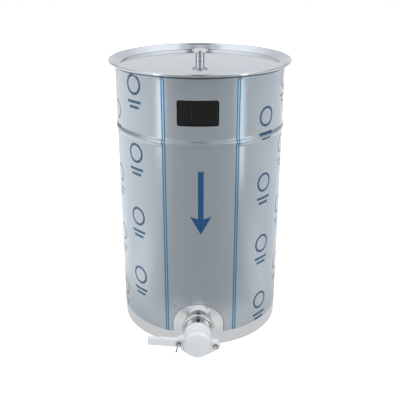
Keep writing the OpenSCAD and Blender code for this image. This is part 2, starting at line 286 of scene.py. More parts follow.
def blend(tree, factor, a, b):
    return newNode(tree, "Mix", {"Factor": factor, "A": a, "B": b}, data_type="RGBA")["Result"]


def bump(tree, height, strength, depth):
    inputs = {"Height": height, "Strength": strength, "Distance": depth * mm}
    return newNode(tree, "Bump", inputs)["Normal"]


# a colour as it is written on screen, made linear
def tone(r, g, b):
    def toLinear(c):
        c = c / 255
        return c / 12.92 if c <= 0.04045 else ((c + 0.055) / 1.055) ** 2.4
    return (toLinear(r), toLinear(g), toLinear(b), 1)


def shaded(colour, share):
    return tuple(c * share for c in colour[:3]) + (1,)


# angle around the barrel as a length on its face, and height, in mm
def barrelPlace(tree):
    x, y, z = separated(tree, coordinate(tree))
    angle = math2(tree, "ARCTAN2", x, product(tree, y, -1.0))
    return product(tree, angle, outlet["wall"]), product(tree, z, 1 / mm)


# length of the flat part of a direction or place, and the share of it that points to the front
def bearing(tree, source):
    x, y, z = separated(tree, source)
    away = hypotenuse(tree, x, y)
    return x, z, away, math2(tree, "DIVIDE", product(tree, y, -1.0), away)


# inside a vessel the sheet stays dull, as it came from the mill
sheetSpec = {
    "dullMetal": 0.8, "dullShade": 0.86, "dullRough": 0.15, "dullEdge": 0.0002,
    "clouds": 9.0, "cloudShade": 0.9, "bump": 0.06, "bumpDepth": 0.02,
}


# bright steel with its rolling streaks, dull inside the given radius
def brightSheet(name, colour, rough, grain, grainScale, dullInside=0.0):
    s = sheetSpec
    material, tree, shader = shaderOf(name)
    away = bearing(tree, objectPlace(tree))[2]
    bright = fade(tree, away, dullInside - s["dullEdge"], dullInside)
    streaks = noise(tree, objectPlace(tree, grainScale), grain, detail=4.0, rough=0.6)
    clouds = noise(tree, objectPlace(tree), s["clouds"])
    outside = blend(tree, clouds, shaded(colour, s["cloudShade"]), colour)
    feed(tree, shader, {
        "Base Color": blend(tree, bright, shaded(colour, s["dullShade"]), outside),
        "Metallic": ranged(tree, bright, 0.0, 1.0, s["dullMetal"], 1.0),
        "Roughness": over(tree, s["dullRough"], spread(tree, streaks, *rough), bright),
        "Normal": bump(tree, streaks, s["bump"], s["bumpDepth"]),
    })
    return material


stuffSpec = {"broad": 0.07, "shade": 0.88, "roughSpread": (0.8, 1.2), "bumpDepth": 0.05}


# one colour with slow changes of shade and a fine grain
def plainStuff(name, colour, rough, grain, bumpStrength, metal=0.0):
    s = stuffSpec
    material, tree, shader = shaderOf(name)
    fine = noise(tree, objectPlace(tree), grain, detail=4.0, rough=0.6)
    broad = noise(tree, objectPlace(tree), grain * s["broad"], detail=2.0)
    feed(tree, shader, {
        "Base Color": blend(tree, broad, shaded(colour, s["shade"]), colour),
        "Metallic": metal,
        "Roughness": spread(tree, fine, *[rough * share for share in s["roughSpread"]]),
        "Normal": bump(tree, fine, bumpStrength, s["bumpDepth"]),
    })
    return material


def finish(piece, body, slot, material, *nodes, angle=35):
    smooth(piece, angle)
    piece.data.materials.clear()
    piece.data.materials.append(material)
    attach(piece, body)
    if nodes:
        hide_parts(*nodes)


def dress(node, material):
    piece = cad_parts[node]
    piece.data.materials.clear()
    piece.data.materials.append(material)


# Barrel: rolled sheet with a stiffening bead and a rolled rim

barrelSpec = {
    "radius": 150, "height": 494, "sheet": 0.8, "rimRadius": 1.8,
    "beadHeight": 386, "beadWidth": 16, "beadBulge": 2.5, "beadSteps": 28,
    "windowSize": (68, 42.5), "windowHeight": 437.7, "windowCorner": 4, "windowCut": (100, 170),
    "socketHole": 25.6, "socketCut": 8,
    "dullInside": 0.1496,  # metres from the axis, within the sheet's thickness
}


# how far the bead stands out, from -0.5 to 0.5 across it
def beadSwell(across):
    return barrelSpec["beadBulge"] * (1 + cos(tau * across)) / 2


def wallOutline(offset, low, high):
    s = barrelSpec
    path = [(s["radius"] + offset, low)]
    for i in range(s["beadSteps"] + 1):
        u = i / s["beadSteps"] - 0.5
        path.append((s["radius"] + offset + beadSwell(u), s["beadHeight"] + s["beadWidth"] * u))
    return path + [(s["radius"] + offset, high)]


# a bar with the window's outline, set through the front wall
def windowBar(grow):
    s = barrelSpec
    width, height = [side / 2 + grow for side in s["windowSize"]]
    middle = s["windowHeight"]
    inner, outer = s["windowCut"]
    bar = block((-width, -outer, middle - height), (width, -inner, middle + height))
    setMode("EDIT")
    bpy.ops.mesh.select_all(action="DESELECT")
    setMode("OBJECT")
    for edge in bar.data.edges:  # the four that run from front to back
        a, b = [bar.data.vertices[v].co for v in edge.vertices]
        edge.select = abs(a.y - b.y) > mm
    setMode("EDIT")
    bpy.ops.mesh.select_mode(type="EDGE")
    bpy.ops.mesh.bevel(offset=(s["windowCorner"] + grow) * mm, segments=8, affect="EDGES")
    bpy.ops.mesh.select_mode(type="VERT")
    setMode("OBJECT")
    return bar


def rimCentre():
    s = barrelSpec
    return s["radius"] - s["sheet"] + s["rimRadius"], s["height"] - s["rimRadius"], s["rimRadius"]


def makeBarrel():
    s = barrelSpec
    rimX, rimZ, rimRadius = rimCentre()
    meet = degrees(acos((s["sheet"] - rimRadius) / rimRadius))
    outer = wallOutline(0, 0, rimZ - rimRadius * sin(radians(meet)))
    roll = arcPoints(rimX, rimZ, rimRadius, 360 - meet, 540, 20)
    piece = turnUpright("barrelShell", outer + roll + wallOutline(-s["sheet"], 0, rimZ)[::-1])
    combine(piece, windowBar(0), "DIFFERENCE")
    combine(piece, rod(s["socketHole"], -s["socketCut"], s["socketCut"]), "DIFFERENCE")
    return piece


barrelSteel = brightSheet("bright rolled steel", tone(238, 238, 237), rough=(0.02, 0.06), grain=22.0,
                          grainScale=(1, 1, 14), dullInside=barrelSpec["dullInside"])
weldSteel = plainStuff("brushed weld", tone(216, 216, 214), rough=0.22, grain=700.0,
                       bumpStrength=0.06, metal=1.0)
finish(makeBarrel(), "tank", "barrel_steel", barrelSteel, "barrel")
dress("bottom_pan", barrelSteel)
dress("bottom_weld", weldSteel)
print("barrel done")


# Upright weld at the back, with the ripples that the torch leaves

seamSpec = {
    "width": 5, "rise": 0.5, "low": 6, "high": 490, "pitch": 2.6, "perRipple": 5, "across": 8,
    "edgeLift": 0.12, "trail": 0.55, "ripple": 0.22, "thick": 0.1,
}


def makeSeam():
    s, b = seamSpec, barrelSpec
    rows = int((s["high"] - s["low"]) / s["pitch"] * s["perRipple"])
    clearSelection()
    bpy.ops.mesh.primitive_grid_add(x_subdivisions=s["across"], y_subdivisions=rows, size=2)
    piece = named("seamWeld")
    for vertex in piece.data.vertices:
        side, along = vertex.co.x, (vertex.co.y + 1) / 2
        z = s["low"] + (s["high"] - s["low"]) * along
        ripple = 1 - s["ripple"] + s["ripple"] * cos(tau * (z / s["pitch"] + s["trail"] * side * side))
        lift = s["edgeLift"] + (s["rise"] - s["edgeLift"]) * (1 - side ** 4) * ripple
        u = (z - b["beadHeight"]) / b["beadWidth"]
        r = b["radius"] + (beadSwell(u) if abs(u) < 0.5 else 0) + lift
        angle = side * s["width"] / 2 / b["radius"]
        vertex.co = (-r * sin(angle) * mm, r * cos(angle) * mm, z * mm)
    applyModifier(piece, "SOLIDIFY", thickness=s["thick"] * mm, offset=-1.0)
    return piece


finish(makeSeam(), "tank", "weld_steel", weldSteel, "barrel_seam_weld", angle=60)
print("seam weld done")


# Protective film with its plain print

filmSpec = {
    "gap": 0.2, "thick": 0.3, "low": 25, "high": 490.2, "curlBelow": 3, "rimWrap": 65, "over": 10,
    "archRadius": 46.2, "archHeight": 38.8, "archFoot": 12, "archCut": (-70, 40),
    "bareStrip": 26, "stripCut": (60, 200),
    "waver": 1.3, "wavers": ((0.5, 3, 0.4), (0.3, 7, 2), (0.2, 19, 0)),  # share, waves around, shift
}
printSpec = {
    "lane": 314.16, "laneMiddle": 4.7,
    "stripes": (-64.8, -60.7, 60.7, 64.7), "stripeHalf": 0.9,
    "halos": (-62.8, 62.7), "haloHalf": 4.6, "haloSoft": 1.4,
    "arrowTip": 225, "arrowShoulder": 258.4, "arrowTop": 341, "arrowShaft": 4.8, "arrowHead": 18.4,
    "arrowNotch": 2.4, "arrowBarb": 0.33, "shaftEnd": (20, 20.5),
    "marks": ((-124, 62), (124, 8)), "markPitch": 118, "ringRadius": 15.5, "ringHalf": 2.2,
    "markBars": ((30.0, 17.0), (21.0, 12.0)), "barHalf": 2.4,
    # the painted shadow along the arch's cut edge: how dark, over what width, and on the front only
    "edgeShadowShare": 0.6, "edgeRun": (0.5, 1.9), "frontDepth": -0.01,
}
filmFinish = {
    # the last colour here is the painted shadow along the film's cut edge at the outlet
    "film": ((183, 191, 197), (189, 197, 203)), "streak": (206, 213, 218), "cutEdgeShadow": (70, 78, 84),
    # how well each ink covers, and its colour
    "halo": (0.75, (150, 188, 212)), "lines": (0.93, (18, 74, 110)), "marks": (0.95, (10, 78, 114)),
    "arrow": (0.97, (0, 78, 132)),
    "streaks": 160.0, "streakStretch": (1, 1, 0.03), "streakRun": (0.45, 0.75), "streakShare": 0.12,
    "clouds": 6.0, "ripples": 14.0, "rippleStretch": (1, 1, 0.35), "rippleBump": 0.2, "rippleDepth": 0.2,
    "metal": 0.75, "inkMetal": 0.3, "rough": (0.17, 0.23), "coat": 0.15, "coatRough": 0.15,
}


def makeFilm():
    s = filmSpec
    rimX, rimZ, rimRadius = rimCentre()

    def side(lift):  # up the wall, then over the outer half of the rim's roll
        start = -180 + degrees(acos((rimX - barrelSpec["radius"] - lift) / (rimRadius + lift)))
        curl = arcPoints(rimX, rimZ, rimRadius + lift, start, s["rimWrap"], 16)
        return wallOutline(lift, s["low"], s["high"] - s["curlBelow"]) + curl

    piece = turnUpright("filmSkin", side(s["gap"] + s["thick"]) + side(s["gap"])[::-1])
    for vertex in piece.data.vertices:  # the lower edge was trimmed by hand
        if vertex.co.z < (s["low"] + 1) * mm:
            a = atan2(vertex.co.x, -vertex.co.y)
            waver = sum(share * sin(waves * a + shift) for share, waves, shift in s["wavers"])
            vertex.co.z += s["waver"] * waver * mm
    combine(piece, windowBar(s["gap"]), "DIFFERENCE")
    combine(piece, archBar(), "DIFFERENCE")
    half = s["bareStrip"] / 2
    near, far = s["stripCut"]
    strip = block((-half, near, s["low"] - s["over"]), (half, far, s["high"] + s["over"]))
    combine(piece, strip, "DIFFERENCE")
    return piece


# a bar with the outline of the cut-out around the outlet
def archBar():
    s = filmSpec
    top = s["archHeight"] - outlet["z"]
    foot = s["low"] - s["archFoot"] - outlet["z"]
    outline = arcPoints(0, top, s["archRadius"], 0, 180, 48)
    outline += [(-s["archRadius"], foot), (s["archRadius"], foot)]
    return plate("archBar", outline, *s["archCut"])


# 1 within half of the middle, with a soft edge
def band(tree, value, middle, half, soft=0.35):
    return ranged(tree, distance(tree, value, middle), half - soft, half + soft, 1.0, 0.0)


# 1 where the upper height lies above the lower one
def above(tree, upper, lower, soft=0.3):
    return fade(tree, math2(tree, "SUBTRACT", upper, lower), -soft, soft)


def most(tree, masks):
    total = masks[0]
    for mask in masks[1:]:
        total = math2(tree, "MAXIMUM", total, mask)
    return total


# a shaft with a notched top, and a head with swept barbs
def arrowMask(tree, lane, height):
    s = printSpec
    off = math2(tree, "ABSOLUTE", lane)

    def slanted(slope, base):
        return math2(tree, "MULTIPLY_ADD", off, slope, base)

    notch = slanted(s["arrowNotch"] / s["arrowShaft"], s["arrowTop"] - s["arrowNotch"])
    foot, footEnd = [s["arrowTip"] + rise for rise in s["shaftEnd"]]
    shaft = product(tree, band(tree, off, 0.0, s["arrowShaft"]), above(tree, notch, height),
                    fade(tree, height, foot, footEnd))
    lower = slanted((s["arrowShoulder"] - s["arrowTip"]) / s["arrowHead"], s["arrowTip"])
    upper = slanted(s["arrowBarb"], s["arrowShoulder"] - s["arrowBarb"] * s["arrowHead"])
    head = product(tree, above(tree, height, lower, 0.4), above(tree, upper, height))
    return math2(tree, "MAXIMUM", shaft, head)


# plain rings over two bars, in upright columns
def ringMask(tree, lane, height):
    s = printSpec
    masks = []
    for place, shift in s["marks"]:
        step = math2(tree, "WRAP", math2(tree, "SUBTRACT", height, shift), s["markPitch"], 0.0)
        aside = math2(tree, "SUBTRACT", lane, place)
        for level, half in s["markBars"]:
            masks.append(product(tree, band(tree, aside, 0.0, half), band(tree, step, level, s["barHalf"])))
        rise = math2(tree, "SUBTRACT", step, s["markPitch"] / 2)
        masks.append(band(tree, hypotenuse(tree, aside, rise), s["ringRadius"], s["ringHalf"]))
    return most(tree, masks)


# a thin painted shadow lies along the film's cut edge around the outlet
def archEdgeShadow(tree, height):
    s = printSpec
    x, y, z = separated(tree, coordinate(tree))
    rise = math2(tree, "MAXIMUM", math2(tree, "SUBTRACT", height, filmSpec["archHeight"]), 0.0)
    away = hypotenuse(tree, product(tree, x, 1 / mm), rise)
    start, end = [filmSpec["archRadius"] + run for run in s["edgeRun"]]
    onFront = ranged(tree, y, s["frontDepth"], 0.0, 1.0, 0.0)
    return product(tree, ranged(tree, away, start, end, s["edgeShadowShare"], 0.0), onFront)


def filmMaterial():
    s = printSpec
    material, tree, shader = shaderOf("printed film on steel")
    around, height = barrelPlace(tree)
    half = s["lane"] / 2
    lane = math2(tree, "WRAP", math2(tree, "SUBTRACT", around, s["laneMiddle"]), half, -half)
    lines = most(tree, [band(tree, lane, place, s["stripeHalf"]) for place in s["stripes"]])
    halo = most(tree, [band(tree, lane, place, s["haloHalf"], s["haloSoft"]) for place in s["halos"]])
    arrow = arrowMask(tree, lane, height)
    marks = ringMask(tree, lane, height)

    # the bare film has faint streaks along the roll and slow clouds, and the print lies over it
    f = filmFinish
    streaks = noise(tree, objectPlace(tree, f["streakStretch"]), f["streaks"], rough=0.6)
    clouds = noise(tree, objectPlace(tree), f["clouds"])
    base = blend(tree, clouds, *[tone(*colour) for colour in f["film"]])
    faint = ranged(tree, streaks, *f["streakRun"], 0.0, f["streakShare"])
    base = blend(tree, faint, base, tone(*f["streak"]))
    for key, mask in (("halo", halo), ("lines", lines), ("marks", marks), ("arrow", arrow)):
        cover, colour = f[key]
        base = blend(tree, product(tree, mask, cover), base, tone(*colour))
    ink = most(tree, [lines, marks, arrow])
    ripples = noise(tree, objectPlace(tree, f["rippleStretch"]), f["ripples"], detail=2.0)
    feed(tree, shader, {
        # the dark line along the arch's edge is painted shadow
        "Base Color": blend(tree, archEdgeShadow(tree, height), base, tone(*f["cutEdgeShadow"])),
        "Metallic": ranged(tree, ink, 0.0, 1.0, f["metal"], f["inkMetal"], "LINEAR"),
        "Roughness": spread(tree, streaks, *f["rough"]),
        "Coat Weight": f["coat"], "Coat Roughness": f["coatRough"],
        "Normal": bump(tree, ripples, f["rippleBump"], f["rippleDepth"]),
    })
    return material


finish(makeFilm(), "tank", "film", filmMaterial(), "protective_film")
print("film done")


# Sight window: a clear pane on a rubber frame inside the wall

paneSpec = {
    "outer": 147.6, "thick": 3, "lap": 10, "blankHalf": 40,
    "sealBack": 1.5, "sealOuter": 149.1, "sealInner": 147.7,
}
paneFinish = {
    # the dark tint of the pane is painted shade of the barrel's dark inside
    "clear": (0.055, 0.052, 0.046, 1), "reflectionTint": (0.24, 0.2, 0.16, 1), "reflectionClear": 0.8,
    # paler brownish upright streaks in the pane are painted reflections
    "reflectionStreaks": 130.0, "reflectionStretch": (1, 1, 0.12), "reflectionRun": (0.58, 0.74),
    "rough": 0.03, "ior": 1.49, "specular": 0.1,
}


# a ring of the given wall, cut to the window's outline
def curvedPlate(name, outer, inner, grow):
    low = barrelSpec["windowHeight"] - paneSpec["blankHalf"]
    high = low + 2 * paneSpec["blankHalf"]
    piece = turnUpright(name, [(outer, low), (outer, high), (inner, high), (inner, low)])
    combine(piece, windowBar(grow), "INTERSECT")
    return piece


def makePane():
    s = paneSpec
    return curvedPlate("sightPane", s["outer"], s["outer"] - s["thick"], s["lap"])


def makeSeal():
    s = paneSpec
    piece = curvedPlate("paneSeal", s["sealOuter"], s["sealInner"], s["lap"])
    combine(piece, windowBar(s["sealBack"]), "DIFFERENCE")
    return piece


def paneMaterial():
    s = paneFinish
    material, tree, shader = shaderOf("clear pane, smoky with honey haze")
    # upright streaks painted as reflections on the pane
    reflectionStreaks = noise(tree, objectPlace(tree, s["reflectionStretch"]), s["reflectionStreaks"])
    paintedReflection = fade(tree, reflectionStreaks, *s["reflectionRun"])
    feed(tree, shader, {
        # the dark base colour paints the shade inside the barrel
        "Base Color": blend(tree, paintedReflection, s["clear"], s["reflectionTint"]),
        "Transmission Weight": ranged(tree, paintedReflection, 0.0, 1.0, 1.0, s["reflectionClear"], "LINEAR"),
        "Roughness": s["rough"], "IOR": s["ior"], "Specular IOR Level": s["specular"],
    })
    return material


blackRubber = plainStuff("black rubber", tone(24, 24, 25), rough=0.6, grain=700.0, bumpStrength=0.3)
finish(makePane(), "tank", "pane", paneMaterial(), "window_pane")
finish(makeSeal(), "tank", "seal_rubber", blackRubber, "window_seal")
print("window done")


# Outlet: welded socket and its gasket

socketSpec = {
    "outer": 25.5, "bore": 23.5, "back": -6, "front": 21, "chamfer": 0.9, "mouth": (0.4, 0.6), "soft": 0.25,
}


def makeSocket():
    s = socketSpec
    c = s["chamfer"]
    wider, deep = s["mouth"]
    outline = [
        (s["bore"], s["back"]), (s["outer"], s["back"]),
        (s["outer"], s["front"] - c), (s["outer"] - c, s["front"]),
        (s["bore"] + wider, s["front"]), (s["bore"], s["front"] - deep),
    ]
    piece = turnOutward("outletSocket", outline, steps=128)
    softenEdges(piece, s["soft"], 2, 25)
    return piece


weldSpec = {
    "inner": 25.6, "toe": 3.8, "rise": 4.0, "pitch": 2.4, "perRipple": 6, "around": 10, "wallGap": 0.1,
    "ripple": 0.07, "trail": 2.2, "belly": 0.5, "bellyShare": 0.6,
}


# a torus pulled into a fillet between the socket and the curved wall
def makeSocketWeld():
    s = weldSpec
    ripples = round(tau * (s["inner"] + s["toe"] / 2) / s["pitch"])
    segments = ripples * s["perRipple"]
    clearSelection()
    bpy.ops.mesh.primitive_torus_add(major_segments=segments, minor_segments=s["around"],
                                     major_radius=1.0, minor_radius=0.25)
    piece = named("socketWeld")
    wall = outlet["wall"] + s["wallGap"]
    for index, vertex in enumerate(piece.data.vertices):
        angle = tau * (index // s["around"]) / segments
        share = index % s["around"]
        ripple = s["ripple"] * cos(ripples * angle - s["trail"] * share / s["around"])
        if share < s["around"] - 1:  # over the bead, from its toe to the socket
            t = share / (s["around"] - 2)
            swell = (s["belly"] + ripple) * sin(pi * t) * s["bellyShare"]
            r = s["inner"] + s["toe"] * (1 - t) + swell
            lift = s["rise"] * t + swell
        else:  # the corner where the socket meets the wall
            r, lift = s["inner"], 0.0
        x, z = r * cos(angle), r * sin(angle)
        out = sqrt(wall * wall - x * x) - outlet["wall"] + lift
        vertex.co = metres(outPlace(x, z, out))
    pick(piece)
    setMode("EDIT")
    faceOutwards()
    return piece


socketSteel = brightSheet("turned socket steel", tone(208, 210, 212), rough=(0.06, 0.14), grain=60.0,
                          grainScale=(1, 12, 1))
whiteRubber = plainStuff("white gasket rubber", tone(214, 216, 214), rough=0.5, grain=500.0,
                         bumpStrength=0.2)
finish(makeSocket(), "tank", "socket_steel", socketSteel, "outlet_socket")
finish(makeSocketWeld(), "tank", "weld_steel", weldSteel, "socket_weld_bead", angle=70)
dress("outlet_gasket", whiteRubber)
dress("face_seal", blackRubber)
print("outlet done")


# Gate: moulded body, swinging blade with its lever

gateSpec = {
    "radius": 25.3, "flange": 25.6, "roll": 3.5, "bore": 20, "back": 23, "front": 46,
    "shank": 23.3, "shankLength": 19, "shankChamfer": 0.8, "core": 10, "flangeLap": 1,
    "earThick": 4.5, "pivot": 32, "pivotEar": 8.5, "clamp": 33, "clampEar": 11.5, "clampEarOut": 6.5,
    "hole": 2.55, "holeCut": (30, 60), "soft": 0.7, "over": 5,
    "sealOuter": 23.6, "sealInner": 20.8, "sealDepth": 2, "sealCut": 50,
}
bladeSpec = {
    "back": 46.2, "front": 52.7, "soft": 1.1,
    "faceRadius": 25.2, "faceBack": 50, "faceTop": 56, "faceRound": 4,
    "leverTip": 88, "leverRoot": 16, "leverEnd": 14.5, "leverRise": 0.6, "leverCorner": 3.5, "leverLap": 8,
    "slot": 6.4, "slotCut": 4, "holeCut": (40, 60),
}


def earOutline():
    s = gateSpec
    clampEarX = s["clamp"] - s["clampEarOut"]
    pivotSide = degrees(acos((s["flange"] - s["pivotEar"]) / s["pivot"]))
    clampSide = 180 - degrees(acos((s["flange"] - s["clampEar"]) / clampEarX))
    pivotStep = degrees(asin(s["pivotEar"] / s["flange"]))
    clampStep = degrees(asin(s["clampEar"] / s["flange"]))
    outline = arcPoints(s["pivot"], 0, s["pivotEar"], -pivotSide, 90, 24)
    outline += arcPoints(0, 0, s["flange"], pivotStep, 180 - clampStep, 40)
    outline += arcPoints(-clampEarX, 0, s["clampEar"], 90, 360 - clampSide, 20)
    return outline + arcPoints(0, 0, s["flange"], 360 - clampSide, 360 - pivotSide, 20)


def makeGateBody():
    s = gateSpec
    end = s["back"] - s["shankLength"]
    c = s["shankChamfer"]
    top = s["front"] - s["flangeLap"]
    tube = [
        (s["shank"] - c, end), (s["shank"], end + c), (s["shank"], s["back"]),
        (s["radius"], s["back"]), (s["radius"], top), (s["core"], top), (s["core"], end),
    ]
    piece = turnOutward("gateBody", tube, steps=128)
    combine(piece, plate("flange", earOutline(), s["front"] - s["earThick"], s["front"]), "UNION")
    combine(piece, rod(s["bore"], end - s["over"], s["front"] + s["over"], vertices=128), "DIFFERENCE")
    softenEdges(piece, s["soft"])
    for x in (s["pivot"], -s["clamp"]):
        combine(piece, rod(s["hole"], *s["holeCut"], x, 32), "DIFFERENCE")
    low, high = s["front"] - s["sealDepth"], s["sealCut"]
    groove = [(s["sealInner"], low), (s["sealOuter"], low), (s["sealOuter"], high), (s["sealInner"], high)]
    combine(piece, turnOutward("groove", groove, steps=128), "DIFFERENCE")
    return piece


def leverOutline():
    s, g = bladeSpec, gateSpec
    root = -(g["clamp"] - g["clampEarOut"]) + s["leverLap"]
    tip = s["leverTip"] - s["leverCorner"]
    edge = s["leverEnd"] / 2 - s["leverCorner"]
    up = s["leverRise"]
    outline = [(root, up + s["leverRoot"] / 2)]
    outline += arcPoints(-tip, up + edge, s["leverCorner"], 90, 180, 10)
    outline += arcPoints(-tip, up - edge, s["leverCorner"], 180, 270, 10)
    return outline + [(root, up - s["leverRoot"] / 2)]


# the clamp bolt's way out of the blade, an arc about the pivot
def slotOutline():
    g = gateSpec
    half = bladeSpec["slot"] / 2
    swing = g["pivot"] + g["clamp"]
    sweep = degrees(asin(g["flange"] / swing))
    outline = arcPoints(-g["clamp"], 0, half, 0, 180, 12)
    outline += arcPoints(g["pivot"], 0, swing + half, 180, 180 + sweep, 8)
    return outline + arcPoints(g["pivot"], 0, swing - half, 180 + sweep, 180, 8)


def makeBlade():
    s, g = bladeSpec, gateSpec
    piece = plate("gateBlade", earOutline(), s["back"], s["front"])
    combine(piece, plate("lever", leverOutline(), s["back"], s["front"]), "UNION")
    slot = plate("slot", slotOutline(), s["back"] - s["slotCut"], s["front"] + s["slotCut"])
    combine(piece, slot, "DIFFERENCE")
    softenEdges(piece, s["soft"], 4)
    r, rounding = s["faceRadius"], s["faceRound"]
    face = [(0, s["faceBack"]), (r, s["faceBack"])]
    face += arcPoints(r - rounding, s["faceTop"] - rounding, rounding, 0, 90, 8)
    face += [(0, s["faceTop"])]
    combine(piece, turnOutward("face", face, steps=128), "UNION")
    combine(piece, rod(g["hole"], *s["holeCut"], g["pivot"], 32), "DIFFERENCE")
    return piece


plasticSpec = {
    "colours": ((222, 225, 227), (232, 234, 235)), "fine": 140.0, "broad": 30.0, "rough": (0.3, 0.36),
    "glow": 0.45, "glowRadius": 0.011, "bump": 0.04, "bumpDepth": 0.05,
}


def mouldedWhite():
    s = plasticSpec
    material, tree, shader = shaderOf("moulded white plastic")
    fine = noise(tree, objectPlace(tree), s["fine"], detail=2.0)
    broad = noise(tree, objectPlace(tree), s["broad"], detail=2.0)
    feed(tree, shader, {
        "Base Color": blend(tree, broad, *[tone(*colour) for colour in s["colours"]]),
        "Roughness": spread(tree, fine, *s["rough"]),
        "Subsurface Weight": s["glow"], "Subsurface Radius": [s["glowRadius"]] * 3, "Subsurface Scale": 1.0,
        "Normal": bump(tree, fine, s["bump"], s["bumpDepth"]),
    })
    return material


# the gate sits on the socket with its lever's side turned up a little
def rolled(piece):
    spinPiece(piece, 0, -radians(gateSpec["roll"]))
    return piece


gateWhite = mouldedWhite()
finish(rolled(makeGateBody()), "tank", "gate_plastic", gateWhite, "gate_body")
finish(rolled(makeBlade()), "blade", "gate_plastic", gateWhite, "gate_blade")
print("gate done")


# Bolts, washers, lock nut and wing nut

boltSpec = {
    "radius": 2.5, "root": 2.1, "pitch": 0.8, "headWidth": 8, "headHeight": 3.5, "seat": 41.5, "headLap": 1,
    "threadAhead": 0.2, "plainEnd": 0.3, "endChamfer": 0.5, "pivotEnd": 58.5, "clampEnd": 59.6,
    "threadShares": (0.45, 0.6, 0.95),  # of a pitch: down to the root, along it and up again
}
nutSpec = {
    "back": 53.7, "height": 4, "width": 8, "crown": 1.1, "collarLap": 1,
    "collar": ((3.7, 0.9), (3.45, 0.35), (2.96, 0)),  # radius, depth under the top
    "cut": 2, "flatShare": 0.96, "cornerShare": 0.58, "clear": 0.01,
}
washerSpec = {"outer": 5, "inner": 2.55, "back": 52.8, "front": 53.7, "edge": 0.18}
wingSpec = {
    "back": 53.8, "footRadius": 4.5, "footHeight": 0.7, "hubRadius": 3.7, "hubHeight": 5, "hubChamfer": 0.4,
    "reach": 12, "height": 12, "thick": 2, "lean": 20, "tipRound": 2.9, "tipArc": (-20, 130), "soft": 0.5,
    "root": 1.2, "rootInset": 0.3, "elbowShares": (0.7, 0.46), "saddle": (1.2, 1.0), "hubLap": (0.6, 0.5),
    "cut": (2, 20),
}


def hexCorner(width):
    return width / 2 / cos(pi / 6)


def hexagon(name, width, back, front, x):
    rod(hexCorner(width), back, front, x, 6)
    return named(name)


# round bar that trims a hexagon's corners, at its front or at both ends
def cornerTrim(width, back, front, x, both):
    s = nutSpec
    r = hexCorner(width)
    flat = width / 2 * s["flatShare"]
    drop = (r - flat) * s["cornerShare"]
    outline = [(0, back), (flat if both else r + 1, back)]
    outline += [(r + s["clear"], back + drop)] if both else []
    outline += [(r + s["clear"], front - drop), (flat, front), (0, front)]
    return turnOutward("trim", outline, x, 48)


# a shank with its thread as rings, from just ahead of the blade to its end
def threadedShank(name, x, back, threadFrom, end):
    s = boltSpec
    down, along, up = [share * s["pitch"] for share in s["threadShares"]]
    outline = [(0, back), (s["radius"], back), (s["radius"], threadFrom)]
    out = threadFrom
    while out + s["pitch"] < end - s["plainEnd"]:
        outline += [(s["root"], out + down), (s["root"], out + along),
                    (s["radius"], out + up), (s["radius"], out + s["pitch"])]
        out += s["pitch"]
    c = s["endChamfer"]
    outline += [(s["radius"], end - c), (s["radius"] - c, end), (0, end)]
    return turnOutward(name, outline, x, 48)


def makeBolt(name, x, end):
    s = boltSpec
    back = s["seat"] - s["headHeight"]
    piece = hexagon(name, s["headWidth"], back, s["seat"], x)
    combine(piece, cornerTrim(s["headWidth"], back, s["seat"], x, True), "INTERSECT")
    threadFrom = bladeSpec["front"] + s["threadAhead"]
    combine(piece, threadedShank("shank", x, s["seat"] - s["headLap"], threadFrom, end), "UNION")
    return piece


def makeLockNut():
    s = nutSpec
    x = gateSpec["pivot"]
    top = s["back"] + s["height"]
    shoulder = top - s["crown"]
    piece = hexagon("pivotLockNut", s["width"], s["back"], shoulder, x)
    combine(piece, cornerTrim(s["width"], s["back"], shoulder, x, False), "INTERSECT")
    foot = s["back"] + s["collarLap"]
    collar = [(0, foot), (s["collar"][0][0], foot)]
    collar += [(r, top - depth) for r, depth in s["collar"]] + [(0, top)]
    combine(piece, turnOutward("collar", collar, x, 48), "UNION")
    combine(piece, rod(gateSpec["hole"], s["back"] - s["cut"], top + s["cut"], x, 48), "DIFFERENCE")
    return piece


def makeWasher(name, x):
    s = washerSpec
    e = s["edge"]
    outline = [(s["inner"], s["back"]), (s["outer"] - e, s["back"]), (s["outer"], s["back"] + e),
               (s["outer"], s["front"] - e), (s["outer"] - e, s["front"]), (s["inner"], s["front"])]
    return turnOutward(name, outline, x, 64)


# one wing from the side: along it from the hub's axis, and out of its seat
def wingOutline():
    s = wingSpec
    tip = s["tipRound"]
    along, rise = s["elbowShares"]
    saddleOut, saddleUp = s["saddle"]
    lapIn, lapDown = s["hubLap"]
    outline = [(0, s["root"]), (s["footRadius"] - s["rootInset"], s["root"])]
    outline += [(s["reach"] * along, s["height"] * rise)]
    outline += arcPoints(s["reach"] - tip, s["height"] - tip, tip, *s["tipArc"], 12)
    outline += [(s["hubRadius"] + saddleOut, s["hubHeight"] + saddleUp)]
    return outline + [(s["hubRadius"] - lapIn, s["hubHeight"] - lapDown), (0, s["hubHeight"] - lapDown)]


# hub and two wings, pressed in one piece, leaning from upright
def makeWingNut():
    s = wingSpec
    x = -gateSpec["clamp"]
    back, c = s["back"], s["hubChamfer"]
    top = back + s["hubHeight"]
    hub = [
        (0, back), (s["footRadius"], back), (s["footRadius"], back + s["footHeight"]),
        (s["hubRadius"], top - c), (s["hubRadius"] - c, top), (0, top),
    ]
    piece = turnOutward("wingNut", hub, x, 64)
    for turnBy in (0, pi):
        places = [outPlace(x + along, -s["thick"] / 2, back + out) for along, out in wingOutline()]
        wing = slab("wing", places, (0, 0, s["thick"]))
        softenEdges(wing, s["soft"])
        spinPiece(wing, x, radians(90 - s["lean"]) + turnBy)
        combine(piece, wing, "UNION")
    below, beyond = s["cut"]
    combine(piece, rod(gateSpec["hole"], back - below, back + beyond, x, 48), "DIFFERENCE")
    return piece


